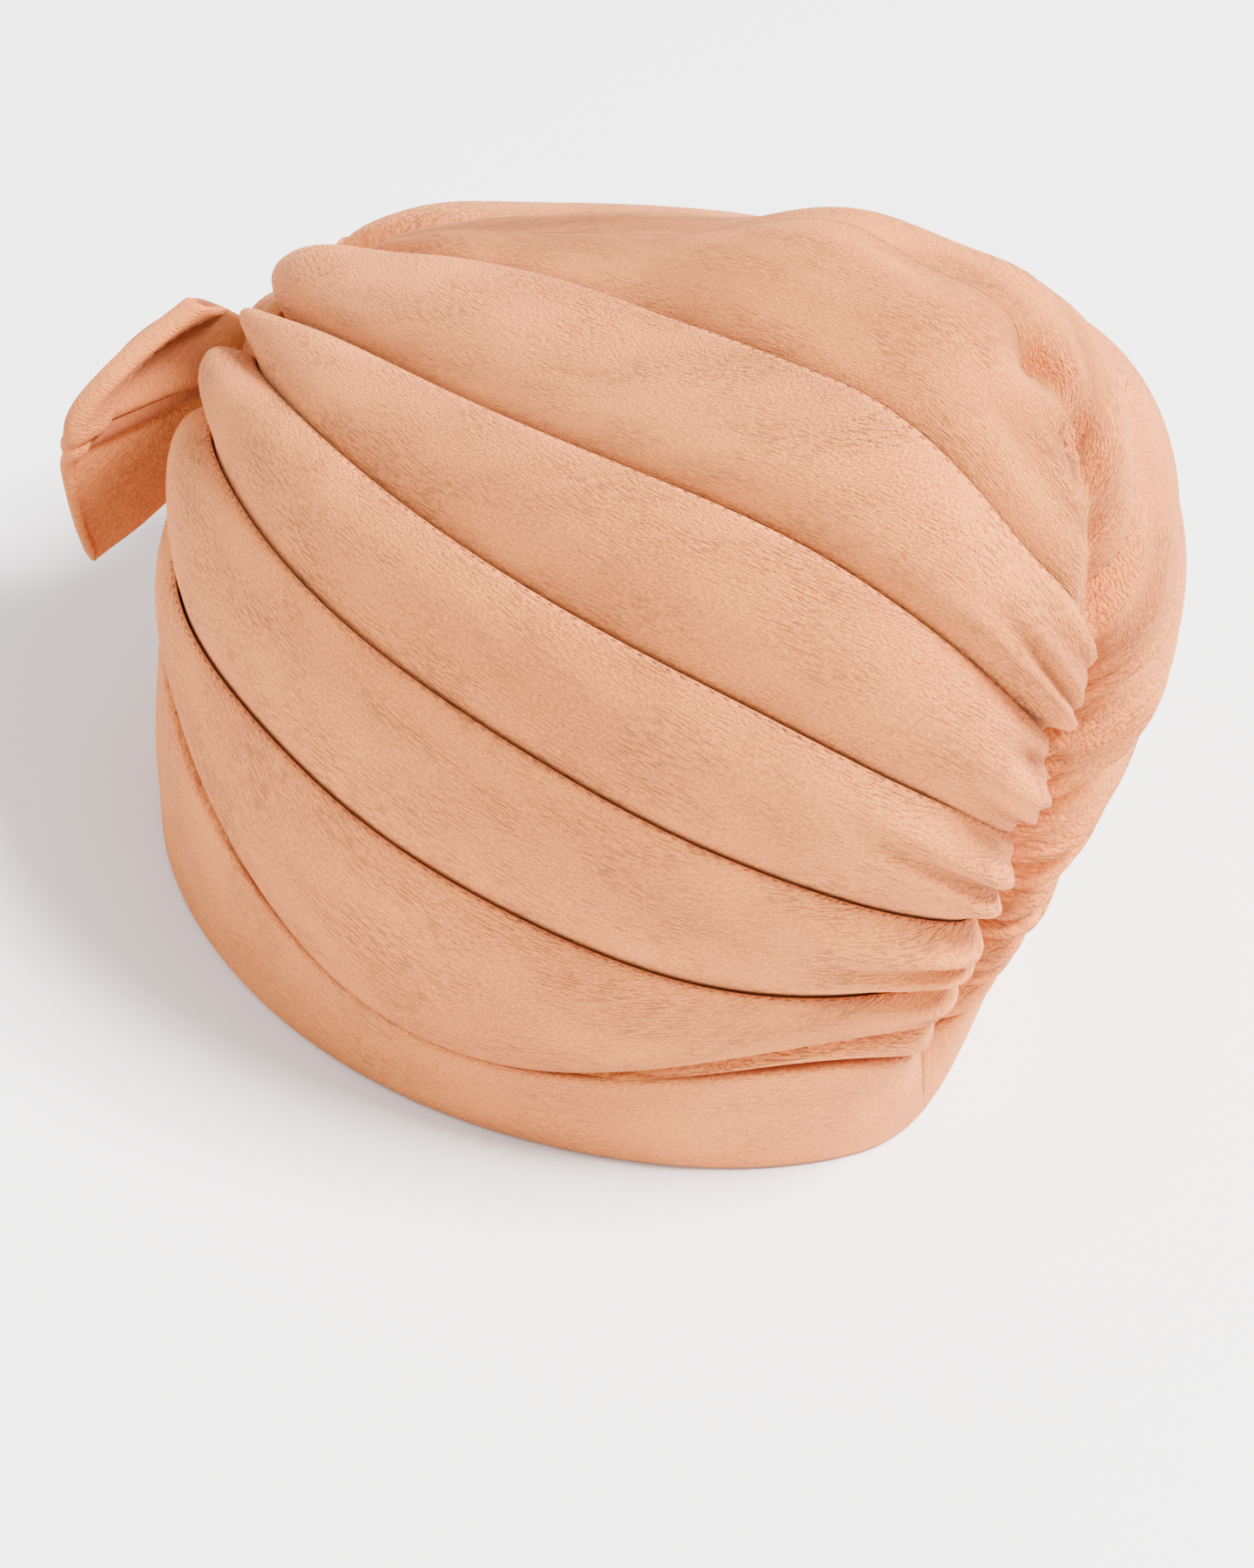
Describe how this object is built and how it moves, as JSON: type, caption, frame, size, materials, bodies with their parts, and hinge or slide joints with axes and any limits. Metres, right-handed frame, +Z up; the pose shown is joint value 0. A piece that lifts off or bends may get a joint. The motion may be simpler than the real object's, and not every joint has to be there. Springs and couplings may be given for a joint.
{
  "type": "turban hat",
  "caption": "Soft turban hat with pleated side panels drawn from a front bow to a gathered back seam, over a plain folded band.",
  "frame": {"origin": "on the level of the rim, below the middle of the whole hat, bow included", "axes": "+Z up through the crown, -Y forward through the bow, +X to the wearer's left"},
  "size_m": [0.1738, 0.234, 0.1852],
  "materials": {
    "panel_cloth": "matte crepe knit",
    "band_cloth": "matte crepe knit",
    "bow_cloth": "matte crepe knit"
  },
  "bodies": {
    "root": {"band": "band_cloth", "left_panel": "panel_cloth", "right_panel": "panel_cloth", "bow_knot": "bow_cloth", "bow_ear_left": "bow_cloth", "bow_ear_right": "bow_cloth"}
  },
  "joints": []
}
